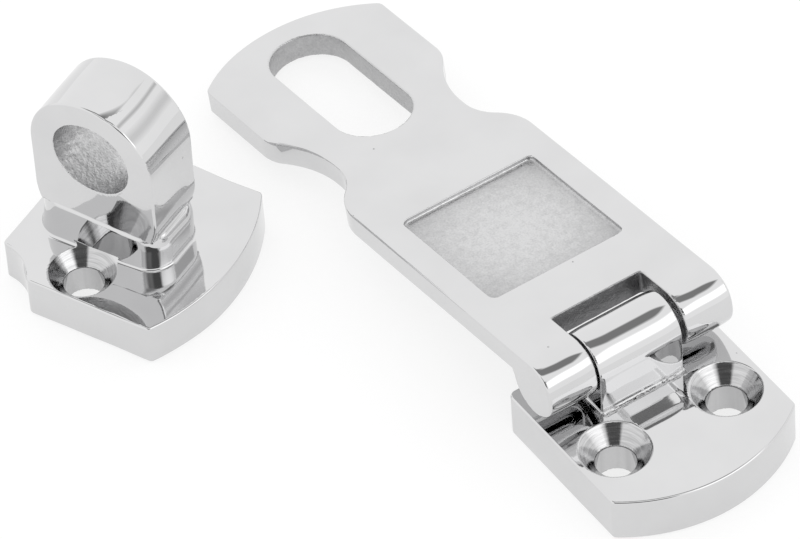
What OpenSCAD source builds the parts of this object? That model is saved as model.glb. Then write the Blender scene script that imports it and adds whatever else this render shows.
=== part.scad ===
// Heavy-duty cast hasp and staple for padlocks, marine pattern.
// The hasp lies open: its leaf flat on the mounting plane, its strap swung out until the tip
// touches that plane. The staple stands beside it. Units are millimetres and +Z is up.
// The origin is midway between the leaf's two screw holes, on the mounting plane.
// X runs from the leaf towards the strap's tip and Y runs along the hinge pin.

/* [Leaf] */
// Width of the fixed leaf, and of the strap's body
leaf_w = 35; // [32:0.5:40]
// Thickness of the leaf
leaf_t = 8.3; // [7.5:0.1:9]
// How far the arched free end lies beyond the screw holes
leaf_front = 15; // [13:0.5:18]
// How far the leaf runs back past the hinge pin
leaf_back = 7.5; // [6:0.5:8]
// How much the arched free end bulges
leaf_bulge = 6.1; // [3:0.1:7]

/* [Screw holes] */
// Diameter of the screw holes, for M6 countersunk screws
hole_d = 6.5; // [5.5:0.1:7]
// Diameter of the leaf's countersinks at the surface
leaf_sink_d = 11.6; // [10:0.1:12.5]
// Diameter of the staple's countersinks at the surface
staple_sink_d = 11; // [10:0.1:11.2]
// Included angle of the countersinks
sink_angle = 82; // [82:1:90]
// Distance between the leaf's two screw holes
leaf_hole_gap = 21.2; // [20:0.1:22]
// Distance between the staple's two screw holes
staple_hole_gap = 22.8; // [22.4:0.1:24]

/* [Hinge] */
// Distance from the screw holes to the hinge pin
pin_x = 12.2; // [12:0.1:14]
// Height of the hinge pin above the mounting plane
pin_z = 15.7; // [15:0.1:17]
// Outside diameter of the knuckles
knuckle_d = 10.4; // [9.5:0.1:11]
// Diameter of the hinge pin
pin_d = 5; // [4:0.1:5.5]
// Radial running clearance between the pin and the leaf's knuckle
pin_play = 0.05; // [0.03:0.01:0.1]
// Width of the window that holds the leaf's knuckle
window_w = 16.9; // [15:0.1:18]
// How far the window runs from the pin towards the tip
window_x = 6.8; // [6.5:0.1:8]
// Gap at the tighter end of the leaf's knuckle
gap_small = 0.4; // [0.3:0.05:0.6]
// Gap at the looser end of the leaf's knuckle
gap_large = 0.8; // [0.5:0.05:1]
// Solid metal left over the blind end of the pin bore
pin_cap = 2.5; // [2:0.1:4]

/* [Strap] */
// Distance from the pin to the tip of the strap
strap_len = 101.6; // [98:0.2:106]
// Thickness of the strap
strap_t = 4.4; // [4:0.1:5]
// Width of the arched head
head_w = 34.6; // [32:0.2:36]
// Radius of the arched tip
tip_r = 26; // [22:0.5:30]
// Width of the waist between body and head
waist_w = 24.8; // [23:0.2:27]
// Distance from the pin to where the waist is narrowest on the body side
waist_x = 62.4; // [61:0.2:64]
// Width of the slot that drops over the staple
slot_w = 13.4; // [12.8:0.1:14]
// Length of the slot
slot_len = 32.2; // [31:0.1:33]
// Distance from the pin to the middle of the slot
slot_x = 80.7; // [80:0.1:81.5]
// Length of the cast pocket along the strap
pocket_len = 26.4; // [20:0.2:28]
// Width of the cast pocket
pocket_w = 25.1; // [20:0.1:28]
// Depth of the cast pocket
pocket_depth = 0.9; // [0.4:0.1:1.5]
// Distance from the pin to the middle of the pocket
pocket_x = 30.2; // [28:0.1:32]

/* [Staple] */
// Width of the staple's plate, across the screw holes
plate_w = 34.6; // [34:0.2:38]
// Thickness of the staple's plate
plate_t = 7.8; // [7:0.1:8.5]
// Distance from the lug's middle to the top of the arched end
plate_front = 20.7; // [19:0.1:23]
// How much the arched end bulges
plate_bulge = 4.6; // [3:0.1:6]
// Distance from the lug's middle to the narrow end
plate_back = 15; // [13.5:0.1:16]
// Width of the narrow end
plate_narrow_w = 24.4; // [22:0.2:28]
// Width of the lug
lug_w = 22.8; // [21:0.2:23.4]
// Thickness of the lug
lug_t = 12.2; // [10.6:0.1:12.7]
// Diameter of the padlock eye
eye_d = 13.8; // [12:0.1:14]
// Height of the padlock eye's middle above the mounting plane
eye_z = 28.2; // [26:0.1:30]
// Height of the crease where the lug's foot ends
foot_z = 14.6; // [12:0.1:15]
// How much further the foot's wide faces spread at the plate than at the crease
foot_flare = 0.2; // [0:0.05:0.4]
// How much further the foot's narrow sides spread at the plate than at the crease
foot_side_flare = 0.9; // [0:0.1:1.2]
// How far the lug's narrow sides draw in towards the crease
neck_in = 0.8; // [0:0.1:1.2]

/* [Layout] */
// Staple's place along the hasp
staple_x = 87.2; // [80:0.2:100]
// Staple's place to the side of the hasp
staple_y = 46.1; // [44:0.1:60]
// Turn of the staple on the mounting plane
staple_turn = -155; // [-180:1:-130]

/* [Hidden] */
$fn = 96;
// Overshoot of a cutting tool past the face it cuts
over = 1;
// Radius of small plan corners
corner_r = 1.5;
// Concave and convex radii of the waist, on its body side and its head side
body_hollow_r = 8;
body_shoulder_r = 9;
head_hollow_r = 18;
head_shoulder_r = 6.5;
// Length of the waist's straight middle
waist_straight = 1.1;
// Radius of the hollow sides that narrow the staple's plate
plate_hollow_r = 8.7;
// Radii of the small rounds before and after those hollows
plate_corner_r = 1;
plate_shoulder_r = 1.2;
// Radius of the pocket's corners
pocket_corner_r = 1.2;
// How far the foot stands out past the lug at the crease, and the radius of its corners
foot_ledge = 0.2;
foot_corner_r = 4;
// Height above the crease at which the lug's narrow sides begin to draw in
neck_rise = 4.2;
// Fillet under the strap where its plate meets the knuckles
web_r = 1.2;

knuckle_r = knuckle_d / 2;
// Underside of the strap, measured up from the pin's axis
under_z = knuckle_r - strap_t;
// Droop of the open strap that brings its tip down to the mounting plane
droop = asin(pin_z / norm([strap_len, under_z])) + atan(under_z / strap_len);
// The leaf's knuckle reaches from knuckle_y0 to knuckle_y1 along the pin
knuckle_y0 = -window_w / 2 + gap_large;
knuckle_y1 = window_w / 2 - gap_small;
pin_y0 = -leaf_w / 2;
pin_y1 = leaf_w / 2 - pin_cap;

// Points on an arc about c, from angle a0 to a1
function arc(c, r, a0, a1, n = 16) =
    [for (i = [0 : n]) let (a = a0 + (a1 - a0) * i / n) c + r * [cos(a), sin(a)]];

// The same points mirrored across the X axis and taken in reverse order
function mirrored(pts) = [for (i = [len(pts) - 1 : -1 : 0]) [pts[i][0], -pts[i][1]]];

// Radius of a bulging end, from its chord and its bulge
function bulge_r(w, bulge) = (w * w / 4 + bulge * bulge) / (2 * bulge);

// Upper half of an arched end: a small corner, then half the arch, with its crown at x = crown
function arched_end(crown, w, r, c) =
    let (xc = crown - r,
         cx = xc + sqrt(pow(r - c, 2) - pow(w / 2 - c, 2)),
         a = atan2(w / 2 - c, cx - xc))
    concat(arc([cx, w / 2 - c], c, 90, a, 6), arc([xc, 0], r, a, 0, 24));

// A closed outline from its upper half
module both_halves(half) {
    polygon(concat(half, mirrored(half)));
}

// A through hole with a countersink whose wide end lies at height t
module screw_hole(t, sink_d) {
    depth = (sink_d - hole_d) / 2 / tan(sink_angle / 2);
    translate([0, 0, -over]) cylinder(d = hole_d, h = t + 2 * over);
    translate([0, 0, t - depth]) cylinder(d1 = hole_d, d2 = sink_d, h = depth);
    translate([0, 0, t]) cylinder(d = sink_d, h = over);
}

// A rod along the pin's axis, between two places on it
module rod(d, y0, y1) {
    translate([0, y0, 0]) rotate([-90, 0, 0]) cylinder(d = d, h = y1 - y0);
}

// Puts things built about the pin's axis in their place
module at_pin() {
    translate([pin_x, 0, pin_z]) children();
}

// A rectangle about the origin with rounded corners
module rounded_rect(w, h, r) {
    square([w - 2 * r, h], center = true);
    square([w, h - 2 * r], center = true);
    for (i = [-1, 1], j = [-1, 1]) translate([i * (w / 2 - r), j * (h / 2 - r)]) circle(r = r);
}

module leaf_outline() {
    c = corner_r;
    back = pin_x + leaf_back;
    end = arched_end(leaf_front, leaf_w, bulge_r(leaf_w, leaf_bulge), 1);
    // The arched end is drawn towards +X and flipped, since the free end faces away from the strap
    front = [for (p = end) [-p[0], p[1]]];
    rear = arc([back - c, leaf_w / 2 - c], c, 0, 90, 6);
    both_halves(concat(rear, front));
}

module hinge_leaf() {
    color("gainsboro") difference() {
        union() {
            linear_extrude(leaf_t) leaf_outline();
            // The knuckle is a full round on a straight-sided post
            at_pin() rod(knuckle_d, knuckle_y0, knuckle_y1);
            translate([pin_x - knuckle_r, knuckle_y0, leaf_t - over])
                cube([knuckle_d, knuckle_y1 - knuckle_y0, pin_z - leaf_t + over]);
        }
        at_pin() rod(pin_d + 2 * pin_play, knuckle_y0 - over, knuckle_y1 + over);
        for (s = [-1, 1])
            translate([0, s * leaf_hole_gap / 2, 0]) screw_hole(leaf_t, leaf_sink_d);
    }
}

// Upper half of the strap's plan, from the pin's axis to the tip
function strap_half() =
    let (w0 = leaf_w / 2, w1 = waist_w / 2, w2 = head_w / 2,
         rb = body_hollow_r + body_shoulder_r,
         rh = head_hollow_r + head_shoulder_r,
         ab = acos(1 - (w0 - w1) / rb),
         ah = acos(1 - (w2 - w1) / rh),
         x1 = waist_x + waist_straight)
    concat([[0, w0]],
        arc([waist_x - rb * sin(ab), w0 - body_shoulder_r], body_shoulder_r, 90, 90 - ab),
        arc([waist_x, w1 + body_hollow_r], body_hollow_r, 270 - ab, 270),
        arc([x1, w1 + head_hollow_r], head_hollow_r, 270, 270 + ah),
        arc([x1 + rh * sin(ah), w2 - head_shoulder_r], head_shoulder_r, 90 + ah, 90),
        arched_end(strap_len, head_w, tip_r, corner_r));

module strap_solid() {
    difference() {
        union() {
            translate([0, 0, under_z]) linear_extrude(strap_t) both_halves(strap_half());
            rod(knuckle_d, -leaf_w / 2, leaf_w / 2);
            // Block that a round tool then hollows to a fillet between plate and knuckle
            translate([0, -leaf_w / 2, under_z - web_r]) cube([knuckle_r + web_r, leaf_w, web_r]);
        }
        translate([knuckle_r + web_r, 0, under_z - web_r]) rod(2 * web_r, -leaf_w, leaf_w);
        // Window for the leaf's knuckle
        translate([-knuckle_r - over, -window_w / 2, -knuckle_r - over])
            cube([knuckle_r + over + window_x, window_w, knuckle_d + 2 * over]);
        // Slot
        translate([slot_x, 0, under_z - over]) linear_extrude(strap_t + 2 * over) {
            run = slot_len - slot_w;
            square([run, slot_w], center = true);
            for (s = [-1, 1]) translate([s * run / 2, 0]) circle(d = slot_w);
        }
        // Pocket
        translate([pocket_x, 0, knuckle_r - pocket_depth]) linear_extrude(pocket_depth + over)
            rounded_rect(pocket_len, pocket_w, pocket_corner_r);
        // Pin bore, blind at the +Y end
        rod(pin_d, pin_y0 - over, pin_y1);
    }
}

module hasp_strap() {
    color("whitesmoke") at_pin() rotate([0, droop, 0]) strap_solid();
}

module hinge_pin() {
    color("silver") at_pin() rod(pin_d, pin_y0, pin_y1);
}

// Upper half of the staple's plan: narrow end, hollow, straight side, arched end.
// The hollow is centred level with the narrow end, and a small round leads in and out of it.
function plate_half() =
    let (w0 = plate_narrow_w / 2, w1 = plate_w / 2, r = plate_hollow_r,
         c = plate_corner_r, s = plate_shoulder_r,
         hollow = [-plate_back, w0 + r],
         corner = hollow + [c, -sqrt(pow(r + c, 2) - c * c)],
         shoulder_y = w1 - s,
         shoulder = [hollow[0] + sqrt(pow(r + s, 2) - pow(hollow[1] - shoulder_y, 2)), shoulder_y],
         a = atan2(hollow[1] - corner[1], hollow[0] - corner[0]),
         b = atan2(shoulder_y - hollow[1], shoulder[0] - hollow[0]))
    concat(arc(corner, c, 180, a, 6),
        arc(hollow, r, a - 180, b),
        arc(shoulder, s, 180 + b, 90, 6),
        arched_end(plate_front, plate_w, bulge_r(plate_w, plate_bulge), 1));

// A prism along X from four corners in the YZ plane: half widths y0 at height z0 and y1 at z1
module tapered_bar(length, y0, z0, y1, z1) {
    rotate([90, 0, 90]) translate([0, 0, -length / 2]) linear_extrude(length)
        polygon([[-y0, z0], [y0, z0], [y1, z1], [-y1, z1]]);
}

// Foot of the lug: it stands out a little at the crease and spreads towards the plate
module lug_foot() {
    x1 = lug_w / 2 - neck_in + foot_ledge;
    x0 = x1 + foot_side_flare;
    y1 = lug_t / 2 + foot_ledge;
    y0 = y1 + foot_flare;
    intersection() {
        tapered_bar(2 * x0, y0, plate_t - over, y1, foot_z);
        rotate([0, 0, 90]) tapered_bar(2 * y0, x0, plate_t - over, x1, foot_z);
        linear_extrude(foot_z) rounded_rect(2 * x0, 2 * y0, foot_corner_r);
    }
}

// The lug above its foot: drawn-in sides at the crease, a straight block, then a half round
module lug() {
    neck_z = foot_z + neck_rise;
    rotate([0, 0, 90]) tapered_bar(lug_t, lug_w / 2 - neck_in, foot_z, lug_w / 2, neck_z);
    translate([-lug_w / 2, -lug_t / 2, neck_z]) cube([lug_w, lug_t, eye_z - neck_z]);
    translate([0, 0, eye_z]) rod(lug_w, -lug_t / 2, lug_t / 2);
}

module staple() {
    color("gainsboro")
    translate([staple_x, staple_y, 0]) rotate([0, 0, staple_turn]) difference() {
        union() {
            linear_extrude(plate_t) both_halves(plate_half());
            lug_foot();
            lug();
        }
        translate([0, 0, eye_z]) rod(eye_d, -lug_t, lug_t);
        for (s = [-1, 1])
            translate([0, s * staple_hole_gap / 2, 0]) screw_hole(plate_t, staple_sink_d);
    }
}

hinge_leaf();
hasp_strap();
hinge_pin();
staple();
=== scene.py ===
"""Looks of the hasp and staple: three polished stainless castings and the hinge pin.

Each piece is worked out as a signed distance, in millimetres, from the same sizes as the CAD source, with the
rounded edges, fillets and cast hollows that polishing leaves. The distance is then skinned with a fine mesh.
"""
import math

import bpy
import numpy as np
from mathutils import Matrix, Vector


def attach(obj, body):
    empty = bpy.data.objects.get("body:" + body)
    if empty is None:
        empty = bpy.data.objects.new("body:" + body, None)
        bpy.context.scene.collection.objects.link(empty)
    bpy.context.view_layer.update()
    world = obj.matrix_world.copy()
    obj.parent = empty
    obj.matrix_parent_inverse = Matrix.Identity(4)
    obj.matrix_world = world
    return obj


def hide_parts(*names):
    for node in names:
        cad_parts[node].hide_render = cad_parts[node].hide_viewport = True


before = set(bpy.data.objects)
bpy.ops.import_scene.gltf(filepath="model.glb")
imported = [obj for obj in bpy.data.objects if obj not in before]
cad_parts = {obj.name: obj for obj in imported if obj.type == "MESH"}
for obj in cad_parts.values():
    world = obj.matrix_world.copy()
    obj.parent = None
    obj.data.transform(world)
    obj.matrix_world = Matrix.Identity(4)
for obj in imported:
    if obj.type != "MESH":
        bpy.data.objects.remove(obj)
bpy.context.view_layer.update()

MM = 0.001

# ---------------------------------------------------------------- sizes, in millimetres
ARCH_CORNER_R = 1.0  # the small corner at either end of an arched end of a plate
LEAF_W, LEAF_T, LEAF_FRONT, LEAF_BACK, LEAF_BULGE = 35.0, 8.3, 15.0, 7.5, 6.1
HOLE_D, LEAF_SINK_D, STAPLE_SINK_D, SINK_HALF_ANGLE = 6.5, 11.6, 11.0, math.radians(41)
LEAF_HOLE_Y, STAPLE_HOLE_Y = 10.6, 11.4
PIN_X, PIN_Z, PIN_R, KNUCKLE_R = 12.2, 15.7, 2.5, 5.2
PIN_PLAY, PIN_CAP = 0.05, 2.5
WINDOW_HALF, WINDOW_X, WINDOW_CORNER_R, GAP_SMALL, GAP_LARGE = 8.45, 6.8, 0.5, 0.4, 0.8
STRAP_LEN, STRAP_T, HEAD_W, TIP_R, WAIST_W, WAIST_X = 101.6, 4.4, 34.6, 26.0, 24.8, 62.4
BODY_HOLLOW_R, BODY_SHOULDER_R, HEAD_HOLLOW_R, HEAD_SHOULDER_R, WAIST_STRAIGHT = 8.0, 9.0, 18.0, 6.5, 1.1
SLOT_X, SLOT_LEN, SLOT_W = 80.7, 32.2, 13.4
POCKET_X, POCKET_LEN, POCKET_W, POCKET_DEPTH, POCKET_CORNER_R = 30.2, 26.4, 25.1, 0.9, 1.2
CORNER_R, WEB_R = 1.5, 1.2
PLATE_W, PLATE_T, PLATE_FRONT, PLATE_BULGE, PLATE_BACK, PLATE_NARROW_W = 34.6, 7.8, 20.7, 4.6, 15.0, 24.4
PLATE_HOLLOW_R, PLATE_CORNER_R, PLATE_SHOULDER_R = 8.7, 1.0, 1.2
LUG_W, LUG_T, EYE_D, EYE_Z, NECK_Z, NECK_IN = 22.8, 12.2, 13.8, 28.2, 18.8, 0.8
FOOT_Z, FOOT_TILT, FOOT_LEDGE, FOOT_FLARE, FOOT_SIDE_FLARE, FOOT_CORNER_R = 14.6, 0.04, 0.32, 0.4, 0.9, 4.0
NECK_POWER = 2.2  # how suddenly the lug's narrow sides draw in
FOOT_SIDE_RUN, FOOT_TAPER = 2.5, 0.035  # the side flare's height; how much less the foot spreads towards +x
# How far, and from how high, the lug's wide faces spread towards the crease; then the middle of that in x,
# and its reach either way
COVE, COVE_RISE, COVE_LEAST_RISE, COVE_X, COVE_BACK, COVE_FRONT = 0.25, 6.3, 0.5, 4.0, 16.0, 7.5
# How polishing has rolled the staple's plate off at one place: how deep, how far in, where, how wide
CROWN, CROWN_RUN, CROWN_X, CROWN_WIDE = 0.25, 3.2, 10.0, 5.0
# The leaf's top curves up towards the knuckle, between the countersinks. From RISE_X0 it steepens to
# RISE_SLOPE at RISE_MID, where it mirrors the knuckle's dark side, and then by RISE_BEND up to RISE_X1
RISE_X0, RISE_MID, RISE_SLOPE, RISE_BEND, RISE_X1 = 1.5, 2.0, 0.0567, (0.01898, 0.00085), 4.1
RISE_Y, RISE_HALF, RISE_FADE = 0.6, 5.4, 1.2  # its middle and half width, and the fade at either end
# A flat ground on the lug's arch, widening towards one face: where it starts, its width there, its fade
FLAT_FROM, FLAT_WIDTH, FLAT_FADE = math.radians(60.5), math.radians(11), math.radians(14)
STAPLE_X, STAPLE_Y, STAPLE_TURN = 87.2, 46.1, math.radians(-155)

UNDER_Z = KNUCKLE_R - STRAP_T  # underside of the strap above the pin's axis
DROOP = math.asin(PIN_Z / math.hypot(STRAP_LEN, UNDER_Z)) + math.atan(UNDER_Z / STRAP_LEN)

ROLL, ROLL_RUN = 0.22, 4.0  # how far, and over what length, polishing rounds a barrel down at its ends
KNUCKLE_FULL = 2.4  # power of the outer knuckles' upper front quarter, where 2 is a circle
# Edge roundings that polishing leaves
EDGE_R, FINE_EDGE_R, RIM_R, POCKET_FLOOR_R, BORE_R = 0.45, 0.28, 0.16, 0.4, 0.1
CREASE_R, CREASE_LAP, CREASE_FILLET = 0.3, 0.3, 0.25  # how the lug meets its foot
ROOT_FILLET, FOOT_FILLET = 0.3, 0.4  # where the knuckle and the staple's foot meet their plates
SINK_LIP, SINK_FILLET = 0.6, 0.1
# The ragged line at the knuckle's root: half its length, how far out and up it lies, its radius
ROOT_HALF, ROOT_OUT, ROOT_UP, ROOT_R = 7.4, 0.25, 0.05, 0.12
WALL_GRAIN, FLOOR_GRAIN = 0.6, 0.5  # how much of the grain the cast walls and the pocket's floor take
SKIN_DEEP, MASK_SOFT, POCKET_SOFT = 0.12, 0.08, 0.06  # how far a mask reaches past its surface, and its fades
PIN_INSET, PIN_EDGE_R = 0.03, 0.22
STRAP_CELL, LEAF_CELL, STAPLE_CELL, PIN_CELL = 0.31, 0.25, 0.27, 0.2


# ---------------------------------------------------------------- signed distances, negative inside
def both(a, b, r):
    """Where a and b overlap, with the edge between them rounded to radius r."""
    return np.minimum(np.maximum(a, b), -r) + np.hypot(np.maximum(a + r, 0), np.maximum(b + r, 0))


def either(a, b, r):
    """a and b joined, with a fillet of radius r between them."""
    return -both(-a, -b, r)


def less(a, b, r):
    """a with b cut away, the edge of the cut rounded to radius r."""
    return both(a, -b, r)


def slab(v, low, high):
    """Between two heights along one axis."""
    return np.abs(v - (low + high) / 2) - (high - low) / 2


def block(u, v, half_u, half_v, r):
    """A rectangle about the origin with corners of radius r."""
    a, b = np.abs(u) - half_u + r, np.abs(v) - half_v + r
    return np.minimum(np.maximum(a, b), 0) + np.hypot(np.maximum(a, 0), np.maximum(b, 0)) - r


def line_to(p, q, x, y):
    """Signed distance to the stretch p-q, inside on its left."""
    ex, ey = q[0] - p[0], q[1] - p[1]
    wx, wy = x - p[0], y - p[1]
    t = np.clip((wx * ex + wy * ey) / (ex * ex + ey * ey), 0, 1)
    return np.hypot(wx - t * ex, wy - t * ey) * np.where(ex * wy - ey * wx > 0, -1, 1)


def arc_to(c, r, a0, a1, x, y):
    """Signed distance to an arc from angle a0 to a1. It bulges outwards if a1 is the greater."""
    wx, wy = x - c[0], y - c[1]
    mid, half = (a0 + a1) / 2, abs(a1 - a0) / 2
    off = np.clip((np.arctan2(wy, wx) - mid + math.pi) % (2 * math.pi) - math.pi, -half, half)
    away = np.hypot(wx - r * np.cos(mid + off), wy - r * np.sin(mid + off))
    inside = np.hypot(wx, wy) < r
    return away * np.where(inside == (a1 > a0), -1, 1)


def outline(parts, x, y):
    """Signed distance to a smooth outline mirrored across y = 0. Its upper half runs from +x to -x."""
    y = np.abs(y)
    best = None
    for kind, *numbers in parts:
        d = (line_to if kind == "line" else arc_to)(*numbers, x, y)
        best = d if best is None else np.where(np.abs(d) < np.abs(best), d, best)
    return best


def arched_end(crown, w, r, c):
    """Parts of a half outline: the arch, with its crown at x = crown, and the small corner. Also its x."""
    xc = crown - r
    cx = xc + math.sqrt((r - c) ** 2 - (w / 2 - c) ** 2)
    a = math.atan2(w / 2 - c, cx - xc)
    return [("arc", (xc, 0), r, 0, a), ("arc", (cx, w / 2 - c), c, a, math.pi / 2)], cx


def bulge_radius(w, bulge):
    """Radius of an arched end, from its chord and its bulge."""
    return (w * w / 4 + bulge * bulge) / (2 * bulge)


def ripple(x, y, z, seed, size=13.0, depth=0.05):
    """Slow unevenness from hand polishing, between 0 and depth. It only takes metal away."""
    rng = np.random.default_rng(seed)
    total = 0.0
    for _ in range(5):
        k = rng.normal(size=3)
        k *= 2 * math.pi / (size * rng.uniform(0.7, 1.6)) / np.linalg.norm(k)
        total = total + np.sin(k[0] * x + k[1] * y + k[2] * z + rng.uniform(0, 2 * math.pi))
    return depth * (0.5 + total / 10)


def grain(x, y, z, seed, size=1.2, depth=0.05):
    """Lumpy unevenness of an unpolished cast wall, about zero."""
    coarse, fine = ripple(x, y, z, seed, size, 2 * depth), ripple(x, y, z, seed + 9, size * 0.55, depth)
    return coarse - depth + fine - depth / 2


def roll(y, low, high):
    """How far a barrel between two places along the pin is rounded down towards its ends."""
    inset = np.clip(np.minimum(y - low, high - y), 0, ROLL_RUN)
    return ROLL * (1 - inset / ROLL_RUN) ** 3


def sink(x, y, z, top, sink_d):
    """A screw hole with its countersink, whose wide end lies at height top."""
    rho = np.hypot(x, y)
    cone = (rho - sink_d / 2 + (top - z) * math.tan(SINK_HALF_ANGLE)) * math.cos(SINK_HALF_ANGLE)
    return np.maximum(either(rho - HOLE_D / 2, cone, SINK_FILLET), z - top - SINK_LIP)


# ---------------------------------------------------------------- the four pieces
def strap_plan():
    """Upper half of the strap's plan, about the pin's axis, run from the tip back past the knuckles."""
    w0, w1, w2 = LEAF_W / 2, WAIST_W / 2, HEAD_W / 2
    rb, rh = BODY_HOLLOW_R + BODY_SHOULDER_R, HEAD_HOLLOW_R + HEAD_SHOULDER_R
    ab, ah = math.acos(1 - (w0 - w1) / rb), math.acos(1 - (w2 - w1) / rh)
    x1, up, down = WAIST_X + WAIST_STRAIGHT, math.pi / 2, -math.pi / 2
    xb, xh = WAIST_X - rb * math.sin(ab), x1 + rh * math.sin(ah)
    tip, corner_x = arched_end(STRAP_LEN, HEAD_W, TIP_R, CORNER_R)
    return tip + [
        ("line", (corner_x, w2), (xh, w2)),
        ("arc", (xh, w2 - HEAD_SHOULDER_R), HEAD_SHOULDER_R, up, up + ah),
        ("arc", (x1, w1 + HEAD_HOLLOW_R), HEAD_HOLLOW_R, down + ah, down),
        ("line", (x1, w1), (WAIST_X, w1)),
        ("arc", (WAIST_X, w1 + BODY_HOLLOW_R), BODY_HOLLOW_R, down, down - ab),
        ("arc", (xb, w0 - BODY_SHOULDER_R), BODY_SHOULDER_R, up - ab, up),
        ("line", (xb, w0), (-3 * KNUCKLE_R, w0)),
    ]


def slot_distance(x, y):
    """Plan of the slot."""
    run = (SLOT_LEN - SLOT_W) / 2
    return np.hypot(np.maximum(np.abs(x - SLOT_X) - run, 0), y) - SLOT_W / 2


def pocket_distance(x, y):
    """Plan of the pocket."""
    return block(x - POCKET_X, y, POCKET_LEN / 2, POCKET_W / 2, POCKET_CORNER_R)


def window_distance(x, y):
    """Plan of the window, whose open end lies beyond the knuckles."""
    half = 20.0  # more than enough to pass the knuckles
    return block(x - WINDOW_X + half, y, half, WINDOW_HALF, WINDOW_CORNER_R)


STRAP_PLAN = strap_plan()


def strap_distance(x, y, z):
    """The strap, level, about the pin's axis."""
    # The knuckles are fuller than round where their front runs into the flat top
    fuller = (np.abs(x) ** KNUCKLE_FULL + np.abs(z) ** KNUCKLE_FULL) ** (1 / KNUCKLE_FULL)
    barrel = np.where((x < 0) & (z > 0), fuller, np.hypot(x, z)) - KNUCKLE_R
    barrel = barrel + np.where(x < 0, roll(np.abs(y), WINDOW_HALF, LEAF_W / 2), 0) * np.clip(-x / 2, 0, 1)
    plate = np.maximum(slab(z, UNDER_Z, KNUCKLE_R), -x)
    profile = np.where(z > UNDER_Z - 0.01, np.minimum(barrel, plate), either(barrel, plate, WEB_R))
    solid = both(profile, outline(STRAP_PLAN, x, y), EDGE_R)
    rough = grain(x, y, z, 21)
    solid = less(solid, window_distance(x, y) + rough * WALL_GRAIN, FINE_EDGE_R)
    solid = less(solid, slot_distance(x, y) + rough * WALL_GRAIN, FINE_EDGE_R)
    pocket = both(pocket_distance(x, y), KNUCKLE_R - POCKET_DEPTH - z + rough * FLOOR_GRAIN, POCKET_FLOOR_R)
    solid = less(solid, pocket, RIM_R)
    bore = both(np.hypot(x, z) - PIN_R, y - LEAF_W / 2 + PIN_CAP, BORE_R)
    return less(solid, bore, 0.12) + ripple(x, y, z, 3, 16.0, 0.06)


def leaf_plan():
    """Upper half of the leaf's plan: rear edge and corner, straight side, arched free end."""
    w, rear, up = LEAF_W / 2, PIN_X + LEAF_BACK, math.pi / 2
    end, _ = arched_end(LEAF_FRONT, LEAF_W, bulge_radius(LEAF_W, LEAF_BULGE), ARCH_CORNER_R)
    (_, (xc, _), r, _, a), (_, (cx, cy), c, _, _) = end
    return [
        ("line", (rear, 0), (rear, w - CORNER_R)),
        ("arc", (rear - CORNER_R, w - CORNER_R), CORNER_R, 0, up),
        ("line", (rear - CORNER_R, w), (-cx, w)),
        ("arc", (-cx, cy), c, up, math.pi - a),
        ("arc", (-xc, 0), r, math.pi - a, math.pi),
    ]


LEAF_PLAN = leaf_plan()


def root_distance(x, y, z):
    """The line where the front of the leaf's knuckle meets the plate."""
    along = np.maximum(np.abs(y - (GAP_LARGE - GAP_SMALL) / 2) - ROOT_HALF, 0)
    return np.hypot(np.hypot(x - PIN_X + KNUCKLE_R + ROOT_OUT, z - LEAF_T - ROOT_UP), along) - ROOT_R


def root_mask(x, y, z):
    """1 along the ragged line."""
    return soft(root_distance(x, y, z) - 0.35, 0.15)


def smooth(t):
    """0 up to t = 0, 1 from t = 1, and an S between."""
    t = np.clip(t, 0, 1)
    return t * t * (3 - 2 * t)


def leaf_rise(x, y):
    """How far the leaf's top rises towards the knuckle, where a wheel followed the hinge."""
    u = np.clip((x - RISE_X0) / (RISE_MID - RISE_X0), 0, 1)
    v = np.clip(x - RISE_MID, 0, RISE_X1 - RISE_MID)
    rise = RISE_SLOPE * (RISE_MID - RISE_X0) * u * u / 2 + RISE_SLOPE * v
    rise = rise + RISE_BEND[0] * v ** 2 + RISE_BEND[1] * v ** 3
    return rise * smooth((RISE_HALF - np.abs(y - RISE_Y)) / RISE_FADE)


def leaf_distance(x, y, z):
    """The leaf, in the part's frame."""
    plate = both(slab(z, 0, LEAF_T + leaf_rise(x, y)), outline(LEAF_PLAN, x, y), EDGE_R)
    px, pz = x - PIN_X, z - PIN_Z
    round_ = np.where(pz > 0, np.hypot(px, pz), np.abs(px)) - KNUCKLE_R
    y0, y1 = -WINDOW_HALF + GAP_LARGE, WINDOW_HALF - GAP_SMALL
    round_ = round_ + roll(y, y0, y1)
    knuckle = both(both(round_, slab(y, y0, y1), FINE_EDGE_R), 1 - z, 0.1)
    solid = either(plate, knuckle, ROOT_FILLET)
    # A ragged line is left along the knuckle's root, where no wheel reaches
    solid = less(solid, root_distance(x, y, z) - grain(x, y, z, 17, 0.9, 0.16), 0.08)
    for side in (-1, 1):
        solid = less(solid, sink(x, y - side * LEAF_HOLE_Y, z, LEAF_T, LEAF_SINK_D), RIM_R)
    solid = less(solid, np.hypot(px, pz) - PIN_R - PIN_PLAY, BORE_R)
    return solid + ripple(x, y, z, 5)


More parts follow.
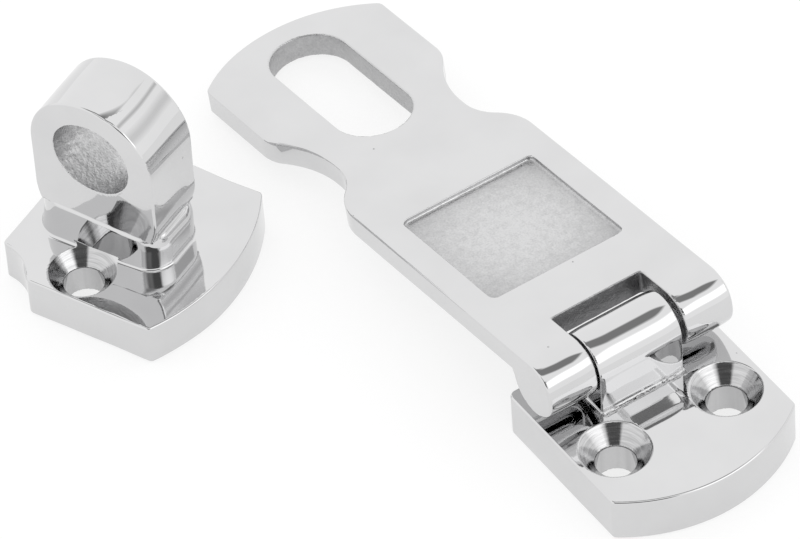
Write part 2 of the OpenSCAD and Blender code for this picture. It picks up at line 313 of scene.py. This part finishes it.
def plate_plan():
    """Upper half of the staple's plan, about the lug's middle, from the arched end to the narrow one."""
    w0, w1, up = PLATE_NARROW_W / 2, PLATE_W / 2, math.pi / 2
    r, c, s = PLATE_HOLLOW_R, PLATE_CORNER_R, PLATE_SHOULDER_R
    end, corner_x = arched_end(PLATE_FRONT, PLATE_W, bulge_radius(PLATE_W, PLATE_BULGE), ARCH_CORNER_R)
    hx, hy = -PLATE_BACK, w0 + r
    cx, cy = hx + c, hy - math.sqrt((r + c) ** 2 - c * c)
    sx, sy = hx + math.sqrt((r + s) ** 2 - (hy - w1 + s) ** 2), w1 - s
    a, b = math.atan2(hy - cy, hx - cx), math.atan2(sy - hy, sx - hx)
    return end + [
        ("line", (corner_x, w1), (sx, w1)),
        ("arc", (sx, sy), s, up, math.pi + b),
        ("arc", (hx, hy), r, b, a - math.pi),
        ("arc", (cx, cy), c, a, math.pi),
        ("line", (hx, cy), (hx, 0)),
    ]


PLATE_PLAN = plate_plan()


def cove(x, z, crease):
    """How far a wide face of the lug spreads outwards towards the crease, where a round wheel hollowed it."""
    reach = np.clip(1 - ((x - COVE_X) / np.where(x < COVE_X, COVE_BACK, COVE_FRONT)) ** 2, 0, 1)
    run = COVE_RISE * np.sqrt(reach) + COVE_LEAST_RISE
    return COVE * reach * np.clip((crease + run - z) / run, 0, 1) ** 2


def arch_flat(t, y):
    """Metal ground off the lug's arch, at an angle t round it."""
    width = FLAT_WIDTH * np.clip(-2 * y / LUG_T, 0, 1)
    ground = np.clip(t - FLAT_FROM, 0, width) ** 2 * LUG_W / 4
    return ground * (1 - smooth((t - FLAT_FROM - width) / FLAT_FADE))


def foot_distance(x, y, z, crease):
    """The lug's foot, below the crease. It spreads towards the plate, most at the narrow end."""
    down = np.clip((crease - z) / (crease - PLATE_T), 0, 1.5)
    side = FOOT_SIDE_FLARE * (1 - np.clip(1 - (crease - z) / FOOT_SIDE_RUN, 0, 1) ** 2)
    half_x, half_y = LUG_W / 2 - NECK_IN + FOOT_LEDGE + side, LUG_T / 2 + FOOT_LEDGE + cove(x, crease, crease)
    foot = block(x, y, half_x, half_y, FOOT_CORNER_R) - down ** 2 * (FOOT_FLARE - FOOT_TAPER * x)
    return both(foot, slab(z, 1, crease), CREASE_R)


def staple_distance(x, y, z):
    """The staple, about the lug's middle. The padlock eye runs along Y."""
    plan = outline(PLATE_PLAN, x, y)
    crown = CROWN * np.clip(1 + plan / CROWN_RUN, 0, 1) ** 2 * np.exp(-((x - CROWN_X) / CROWN_WIDE) ** 2)
    plate = both(slab(z, 0, PLATE_T - crown), plan, EDGE_R)
    rise = z - EYE_Z
    arch = np.where(rise > 0, np.hypot(x, rise), np.abs(x)) - LUG_W / 2
    arch = arch + arch_flat(np.arctan2(rise, x), y)
    # The narrow sides draw in towards the crease, and the foot spreads again below it
    crease = FOOT_Z - FOOT_TILT * x
    arch = arch + NECK_IN * np.clip((NECK_Z - z) / (NECK_Z - FOOT_Z), 0, 1) ** NECK_POWER
    lug = both(arch, np.abs(y) - LUG_T / 2 - cove(x, z, crease), EDGE_R)
    lug = both(lug, crease - CREASE_LAP - z, CREASE_R)
    solid = either(plate, either(lug, foot_distance(x, y, z, crease), CREASE_FILLET), FOOT_FILLET)
    eye = np.hypot(x, rise) - EYE_D / 2 + grain(x, y, z, 31) * WALL_GRAIN
    solid = less(solid, eye, FINE_EDGE_R)
    for side in (-1, 1):
        solid = less(solid, sink(x, y - side * STAPLE_HOLE_Y, z, PLATE_T, STAPLE_SINK_D), RIM_R)
    return solid + ripple(x, y, z, 7, 10.0, 0.14)


def pin_distance(x, y, z):
    """The pin about its own axis, its open end a hair below the knuckle's face."""
    return both(np.hypot(x, z) - PIN_R, slab(y, -LEAF_W / 2 + PIN_INSET, LEAF_W / 2 - PIN_CAP), PIN_EDGE_R)


# ---------------------------------------------------------------- skinning
def slopes(distance, p, step=0.01):
    """Gradient of a distance at each point."""
    g = np.empty_like(p)
    for i in range(3):
        away = np.zeros(3)
        away[i] = step
        g[:, i] = (distance(*(p + away).T) - distance(*(p - away).T)) / (2 * step)
    return g


def skin(distance, low, high, cell):
    """Surface of a distance as points, quads and normals: surface nets, pulled onto the exact surface."""
    axes = [np.arange(a - 2 * cell, b + 3 * cell, cell) for a, b in zip(low, high)]
    shape = tuple(len(a) for a in axes)
    d = distance(axes[0][:, None, None], axes[1][None, :, None], axes[2][None, None, :])
    d = np.broadcast_to(d, shape)
    inside = d < 0
    count = np.zeros(tuple(n - 1 for n in shape), np.int8)
    corners = [(i, j, k) for i in (0, 1) for j in (0, 1) for k in (0, 1)]
    for i, j, k in corners:
        count += inside[i:shape[0] - 1 + i, j:shape[1] - 1 + j, k:shape[2] - 1 + k]
    cells = np.argwhere((count > 0) & (count < 8))
    values = np.stack([d[tuple((cells + c).T)] for c in corners], 1)
    total, crossings = np.zeros((len(cells), 3)), np.zeros(len(cells))
    for m, a in enumerate(corners):
        for n, b in enumerate(corners):
            if n > m and sum(abs(u - v) for u, v in zip(a, b)) == 1:
                va, vb = values[:, m], values[:, n]
                cross = (va < 0) != (vb < 0)
                t = np.where(cross, va / np.where(cross, va - vb, 1), 0)[:, None]
                total += np.where(cross[:, None], np.array(a) * (1 - t) + np.array(b) * t, 0)
                crossings += cross
    origin = np.array([a[0] for a in axes])
    p = origin + (cells + total / crossings[:, None]) * cell
    number = np.full(count.shape, -1)
    number[tuple(cells.T)] = np.arange(len(cells))
    quads = []
    for axis in range(3):
        u, v = (axis + 1) % 3, (axis + 2) % 3
        here = [slice(None)] * 3
        there = [slice(None)] * 3
        here[axis], there[axis] = slice(0, -1), slice(1, None)
        change = inside[tuple(here)] != inside[tuple(there)]
        at = np.argwhere(change)
        at = at[(at[:, u] > 0) & (at[:, v] > 0) & (at[:, u] < shape[u] - 1) & (at[:, v] < shape[v] - 1)]
        ring = []
        for du, dv in ((-1, -1), (0, -1), (0, 0), (-1, 0)):
            c = at.copy()
            c[:, u] += du
            c[:, v] += dv
            ring.append(number[tuple(c.T)])
        ring = np.stack(ring, 1)
        flip = ~inside[tuple(at.T)]
        ring[flip] = ring[flip][:, ::-1]
        quads.append(ring)
    for _ in range(4):
        g = slopes(distance, p)
        step = (distance(*p.T) / np.maximum((g * g).sum(1), 0.05))[:, None] * g
        p = p - np.clip(step, -cell, cell)
    g = slopes(distance, p)
    return p, np.concatenate(quads), g / np.linalg.norm(g, axis=1)[:, None]


def same(value):
    """A mask that is the same all over."""
    return lambda x, y, z: value


def add_piece(name, distance, low, high, cell, place,
              cast=same(0), painted_shade_tone=same(1), sink=same(0), radius=same(0)):
    """A mesh object of a distance, put in its place. The masks are what its material reads."""
    p, quads, normals = skin(distance, low, high, cell)
    turn = np.array(place.to_3x3())
    world = p @ turn.T + np.array(place.translation)
    mesh = bpy.data.meshes.new(name)
    mesh.from_pydata((world * MM).tolist(), [], quads.tolist())
    mesh.validate()
    mesh.polygons.foreach_set("use_smooth", np.ones(len(mesh.polygons), bool))
    mesh.normals_split_custom_set_from_vertices((normals @ turn.T).tolist())
    for mask, value in (("cast", cast), ("painted_shade_tone", painted_shade_tone), ("sink", sink), ("radius", radius)):
        layer = mesh.attributes.new(mask, "FLOAT", "POINT")
        layer.data.foreach_set("value", np.broadcast_to(value(*p.T), len(p)).astype(np.float32))
    piece = bpy.data.objects.new(name, mesh)
    bpy.context.scene.collection.objects.link(piece)
    return piece


def soft(d, width=0.25):
    """1 well inside a distance and 0 outside it."""
    return np.clip(0.5 - d / (2 * width), 0, 1)


def strap_cast(x, y, z):
    """1 on the strap's unpolished walls: the slot, the window and the pocket."""
    walls = soft(np.minimum(slot_distance(x, y), window_distance(x, y)) - SKIN_DEEP, MASK_SOFT)
    return np.maximum(walls, soft(np.maximum(pocket_distance(x, y), z - KNUCKLE_R + SKIN_DEEP), POCKET_SOFT))


def strap_painted_shade_tone(x, y, z):
    """How light the strap's metal is: painted shade darkens the window's walls, and the slot's a little, and
    the pocket towards its rim.
    """
    window = soft(window_distance(x, y) - SKIN_DEEP, MASK_SOFT)
    slot = soft(slot_distance(x, y) - SKIN_DEEP, MASK_SOFT)
    out = np.hypot((x - POCKET_X) / POCKET_LEN, y / POCKET_W) * 2
    pocket = soft(np.maximum(pocket_distance(x, y), z - KNUCKLE_R + SKIN_DEEP), POCKET_SOFT)
    # Painted shade: the window's walls much darker, the slot's less, and the pocket darker towards its rim
    return 1 - 0.62 * window - 0.35 * slot - 0.2 * pocket * np.clip(out, 0, 1.3) ** 2


def eye_mask(x, y, z):
    """1 on the wall of the padlock eye."""
    return soft(np.hypot(x, z - EYE_Z) - EYE_D / 2 - SKIN_DEEP, MASK_SOFT)


def hole_radius(hole_y):
    """Distance from the nearest screw hole's axis, along the part."""
    return lambda x, y, z: np.minimum(np.hypot(x, y - hole_y), np.hypot(x, y + hole_y))


def sink_mask(hole_y, top, sink_d):
    """1 on the turned walls of the screw holes."""
    rho = hole_radius(hole_y)
    return lambda x, y, z: soft(np.maximum(rho(x, y, z) - sink_d / 2 + 0.05, z - top + 0.1), MASK_SOFT)


# ---------------------------------------------------------------- materials
def new_material(name):
    m = bpy.data.materials.new(name)
    m.use_nodes = True
    return m, m.node_tree.nodes, m.node_tree.links, m.node_tree.nodes["Principled BSDF"]


def add_noise(nodes, links, coords, scale, detail=3.0, stretch=None):
    """A noise texture's value over the piece, in metres. stretch squeezes it along one axis."""
    noise = nodes.new("ShaderNodeTexNoise")
    noise.inputs["Scale"].default_value = scale
    noise.inputs["Detail"].default_value = detail
    source = coords
    if stretch:
        mapping = nodes.new("ShaderNodeMapping")
        mapping.inputs["Scale"].default_value = stretch
        links.new(coords, mapping.inputs["Vector"])
        source = mapping.outputs["Vector"]
    links.new(source, noise.inputs["Vector"])
    return noise.outputs["Fac"]


def ranged(nodes, links, value, low, high, out_low, out_high):
    n = nodes.new("ShaderNodeMapRange")
    for name, v in (("From Min", low), ("From Max", high), ("To Min", out_low), ("To Max", out_high)):
        n.inputs[name].default_value = v
    links.new(value, n.inputs["Value"])
    return n.outputs["Result"]


def blend(nodes, links, factor, a, b):
    """Numbers a and b mixed by factor. Each is a socket or a plain number."""
    n = nodes.new("ShaderNodeMix")
    for socket, v in ((n.inputs["Factor"], factor), (n.inputs["A"], a), (n.inputs["B"], b)):
        if isinstance(v, (int, float)):
            socket.default_value = v
        else:
            links.new(v, socket)
    return n.outputs["Result"]


def maths(nodes, links, kind, a, b):
    n = nodes.new("ShaderNodeMath")
    n.operation = kind
    for socket, v in zip(n.inputs, (a, b)):
        if isinstance(v, (int, float)):
            socket.default_value = v
        else:
            links.new(v, socket)
    return n.outputs[0]


def attribute(nodes, name):
    n = nodes.new("ShaderNodeAttribute")
    n.attribute_name = name
    return n.outputs["Fac"]


def turned_streaks(nodes, links, coords, radius):
    """Noise drawn out around the screw holes, as a cutter leaves it."""
    split, join = nodes.new("ShaderNodeSeparateXYZ"), nodes.new("ShaderNodeCombineXYZ")
    links.new(coords, split.inputs[0])
    for socket, value, scale in zip(join.inputs, (radius, *split.outputs[:2]), (7.0, 260.0, 260.0)):
        links.new(maths(nodes, links, "MULTIPLY", value, scale), socket)
    return add_noise(nodes, links, join.outputs[0], 1.0, 3.0)


def pits(nodes, links, coords):
    """1 in the few fine pits of the casting that polishing has opened."""
    cells = nodes.new("ShaderNodeTexVoronoi")
    cells.inputs["Scale"].default_value = 160.0
    links.new(coords, cells.inputs["Vector"])
    return ranged(nodes, links, cells.outputs["Distance"], 0.02, 0.035, 1.0, 0.0)


def steel(name):
    """Mirror-polished stainless steel, with cast walls and turned screw holes where the masks say."""
    m, nodes, links, shader = new_material(name)
    coords = nodes.new("ShaderNodeTexCoord").outputs["Object"]
    cast, painted_shade_tone, turned, radius = (attribute(nodes, n) for n in ("cast", "painted_shade_tone", "sink", "radius"))
    shader.inputs["Metallic"].default_value = 1.0

    haze = add_noise(nodes, links, coords, 90.0)
    smear = add_noise(nodes, links, coords, 1200.0, 2.0, (1.0, 0.1, 1.0))
    mottle = add_noise(nodes, links, coords, 700.0, 3.0)
    sand = add_noise(nodes, links, coords, 3000.0, 2.0)
    streaks = turned_streaks(nodes, links, coords, radius)
    pit = pits(nodes, links, coords)

    mirror = ranged(nodes, links, haze, 0.35, 0.7, 0.02, 0.05)
    mirror = maths(nodes, links, "ADD", mirror, ranged(nodes, links, smear, 0.6, 0.8, 0.0, 0.03))
    rough = blend(nodes, links, cast, mirror, ranged(nodes, links, mottle, 0.3, 0.7, 0.34, 0.46))
    rough = blend(nodes, links, turned, rough, ranged(nodes, links, streaks, 0.3, 0.7, 0.06, 0.16))
    links.new(rough, shader.inputs["Roughness"])

    colour = nodes.new("ShaderNodeMix")
    colour.data_type = "RGBA"
    colour.inputs["A"].default_value = (0.12, 0.12, 0.125, 1)
    colour.inputs["B"].default_value = (0.66, 0.66, 0.664, 1)
    speck = ranged(nodes, links, maths(nodes, links, "ADD", mottle, sand), 0.7, 1.3, 0.8, 1.12)
    speck = blend(nodes, links, cast, ranged(nodes, links, haze, 0.35, 0.7, 1.0, 0.95), speck)
    speck = blend(nodes, links, turned, speck, ranged(nodes, links, streaks, 0.35, 0.65, 0.6, 0.9))
    speck = maths(nodes, links, "MULTIPLY", speck, ranged(nodes, links, pit, 0.0, 1.0, 1.0, 0.55))
    # The tone mask darkens the colour with painted shade, on the strap's walls and pocket and in the staple's
    # eye
    links.new(maths(nodes, links, "MULTIPLY", painted_shade_tone, speck), colour.inputs["Factor"])
    links.new(colour.outputs["Result"], shader.inputs["Base Color"])

    height = blend(nodes, links, cast, maths(nodes, links, "MULTIPLY", smear, 0.01),
                   maths(nodes, links, "ADD", sand, maths(nodes, links, "MULTIPLY", mottle, 0.8)))
    height = blend(nodes, links, turned, height, maths(nodes, links, "MULTIPLY", streaks, 0.11))
    height = maths(nodes, links, "SUBTRACT", height, pit)
    bump = nodes.new("ShaderNodeBump")
    bump.inputs["Strength"].default_value = 0.8
    bump.inputs["Distance"].default_value = 0.09 * MM
    links.new(height, bump.inputs["Height"])
    links.new(bump.outputs["Normal"], shader.inputs["Normal"])
    return m


def plain_floor():
    """Pale, matt and a little self-lit, so that shadows on it stay soft and light."""
    m, nodes, links, shader = new_material("floor")
    shader.inputs["Base Color"].default_value = (0.25, 0.25, 0.25, 1)
    shader.inputs["Roughness"].default_value = 0.9
    shader.inputs["Specular IOR Level"].default_value = 0.0
    shader.inputs["Emission Color"].default_value = (1, 1, 1, 1)
    shader.inputs["Emission Strength"].default_value = 0.75
    return m


# ---------------------------------------------------------------- stage, lights and camera
def add_floor():
    bpy.ops.mesh.primitive_plane_add(size=6)
    floor = bpy.context.object
    floor.name = "floor"
    floor.location.z = -0.0002
    floor.data.materials.append(plain_floor())


def add_world(strength):
    world = bpy.data.worlds.new("studio")
    bpy.context.scene.world = world
    world.use_nodes = True
    world.node_tree.nodes["Background"].inputs["Color"].default_value = (1, 1, 1, 1)
    world.node_tree.nodes["Background"].inputs["Strength"].default_value = strength


def add_card(name, place, size, light, soft_edge=0.2, level_turn=None):
    """A card of brightness light, seen only in reflections: square on to the object, or level and turned."""
    bpy.ops.mesh.primitive_plane_add(size=1)
    card = bpy.context.object
    card.name = name
    card.scale = (*size, 1)
    card.location = place
    if level_turn is None:
        card.rotation_euler = Vector(place).to_track_quat("Z", "Y").to_euler()
    else:
        card.rotation_euler.z = math.radians(level_turn)
    m, nodes, links, shader = new_material(name)
    nodes.remove(shader)
    split = nodes.new("ShaderNodeSeparateXYZ")
    links.new(nodes.new("ShaderNodeTexCoord").outputs["Generated"], split.inputs[0])
    edges = []
    for i in (0, 1):
        off = maths(nodes, links, "ABSOLUTE", maths(nodes, links, "SUBTRACT", split.outputs[i], 0.5), 0.0)
        inset = maths(nodes, links, "SUBTRACT", 0.5, off)
        edges.append(maths(nodes, links, "MULTIPLY", inset, size[i] / soft_edge))
    shown = ranged(nodes, links, maths(nodes, links, "MINIMUM", *edges), 0.0, 1.0, 0.0, 1.0)
    emit, clear, mix = (nodes.new("ShaderNode" + n) for n in ("Emission", "BsdfTransparent", "MixShader"))
    emit.inputs["Strength"].default_value = light
    for socket, value in zip(mix.inputs, (shown, clear.outputs[0], emit.outputs[0])):
        links.new(value, socket)
    links.new(mix.outputs[0], nodes["Material Output"].inputs["Surface"])
    card.data.materials.append(m)
    card.visible_camera = card.visible_diffuse = card.visible_shadow = False


def add_camera():
    """A long lens, rolled a little, that looks along +X and a little along -Y from above."""
    distance, elevation, roll = 1.124, math.radians(46.34), math.radians(4.3)
    target, ahead_x, ahead_y = Vector((0.0586, 0.0118, 0)), 0.8578, -0.5140
    forward = Vector((ahead_x * math.cos(elevation), ahead_y * math.cos(elevation), -math.sin(elevation)))
    right = Vector((ahead_y, -ahead_x, 0)).normalized()
    up = right.cross(forward)
    x = right * math.cos(roll) - up * math.sin(roll)
    y = right * math.sin(roll) + up * math.cos(roll)
    data = bpy.data.cameras.new("camera")
    data.lens, data.sensor_width = 315, 36
    data.clip_start, data.clip_end = 0.01, 50
    camera = bpy.data.objects.new("camera", data)
    turn = Matrix((x, y, -forward)).transposed()
    camera.matrix_world = Matrix.Translation(target - forward * distance) @ turn.to_4x4()
    bpy.context.scene.collection.objects.link(camera)
    bpy.context.scene.camera = camera


# ---------------------------------------------------------------- put together
add_camera()
add_floor()
add_world(1.13)
add_card("gap_overhead", (0.2445, -0.0835, 1.5), (0.84, 1.8), 0.27, 0.15, level_turn=-30)
add_card("gap_side", (-0.27, -1.44, 1.5), (0.5, 0.36), 0.7, 0.15, level_turn=-30)
add_card("grey_right", (-0.52, -1.23, 0.68), (1.0, 0.6), 0.85, 0.25)
add_card("dark_behind_camera", (-1.317, 0.791, 1.2), (1.8, 1.5), 0.12, 0.3)
add_card("dark_left", (-0.43, 0.745, 1.23), (1.0, 0.7), 0.35, 0.3)
add_card("soft_box", (-1.25, -0.72, 1.02), (1.6, 1.05), 1.75)
bpy.context.scene.view_settings.view_transform = "Standard"

COARSE = 1.0
strap_place = Matrix.Translation((PIN_X, 0, PIN_Z)) @ Matrix.Rotation(DROOP, 4, "Y")
staple_place = Matrix.Translation((STAPLE_X, STAPLE_Y, 0)) @ Matrix.Rotation(STAPLE_TURN, 4, "Z")

strap = add_piece(
    "strap_casting", strap_distance,
    (-KNUCKLE_R, -LEAF_W / 2, -KNUCKLE_R), (STRAP_LEN, LEAF_W / 2, KNUCKLE_R),
    STRAP_CELL * COARSE, strap_place, cast=strap_cast, painted_shade_tone=strap_painted_shade_tone)
leaf = add_piece(
    "leaf_casting", leaf_distance, (-LEAF_FRONT, -LEAF_W / 2, 0),
    (PIN_X + LEAF_BACK, LEAF_W / 2, PIN_Z + KNUCKLE_R), LEAF_CELL * COARSE, Matrix.Identity(4),
    cast=root_mask, sink=sink_mask(LEAF_HOLE_Y, LEAF_T, LEAF_SINK_D), radius=hole_radius(LEAF_HOLE_Y))
staple = add_piece(
    "staple_casting", staple_distance, (-PLATE_BACK, -PLATE_W / 2, 0),
    (PLATE_FRONT, PLATE_W / 2, EYE_Z + LUG_W / 2), STAPLE_CELL * COARSE, staple_place,
    # A little painted shade on the wall of the padlock eye
    cast=eye_mask, painted_shade_tone=lambda x, y, z: 1 - 0.1 * eye_mask(x, y, z),
    sink=sink_mask(STAPLE_HOLE_Y, PLATE_T, STAPLE_SINK_D), radius=hole_radius(STAPLE_HOLE_Y))
pin = add_piece(
    "pin", pin_distance, (-PIN_R, -LEAF_W / 2, -PIN_R), (PIN_R, LEAF_W / 2, PIN_R), PIN_CELL * COARSE,
    Matrix.Translation((PIN_X, 0, PIN_Z)))

for piece, material, body, node, slot in (
    (strap, "polished_strap", "strap", "hasp_strap", "polished_strap"),
    (leaf, "polished_leaf", "leaf", "hinge_leaf", "polished_leaf"),
    (staple, "polished_staple", "staple", "staple", "polished_staple"),
    (pin, "pin_steel", "strap", "hinge_pin", "pin_steel"),
):
    piece.data.materials.append(steel(material))
    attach(piece, body)
    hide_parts(node)
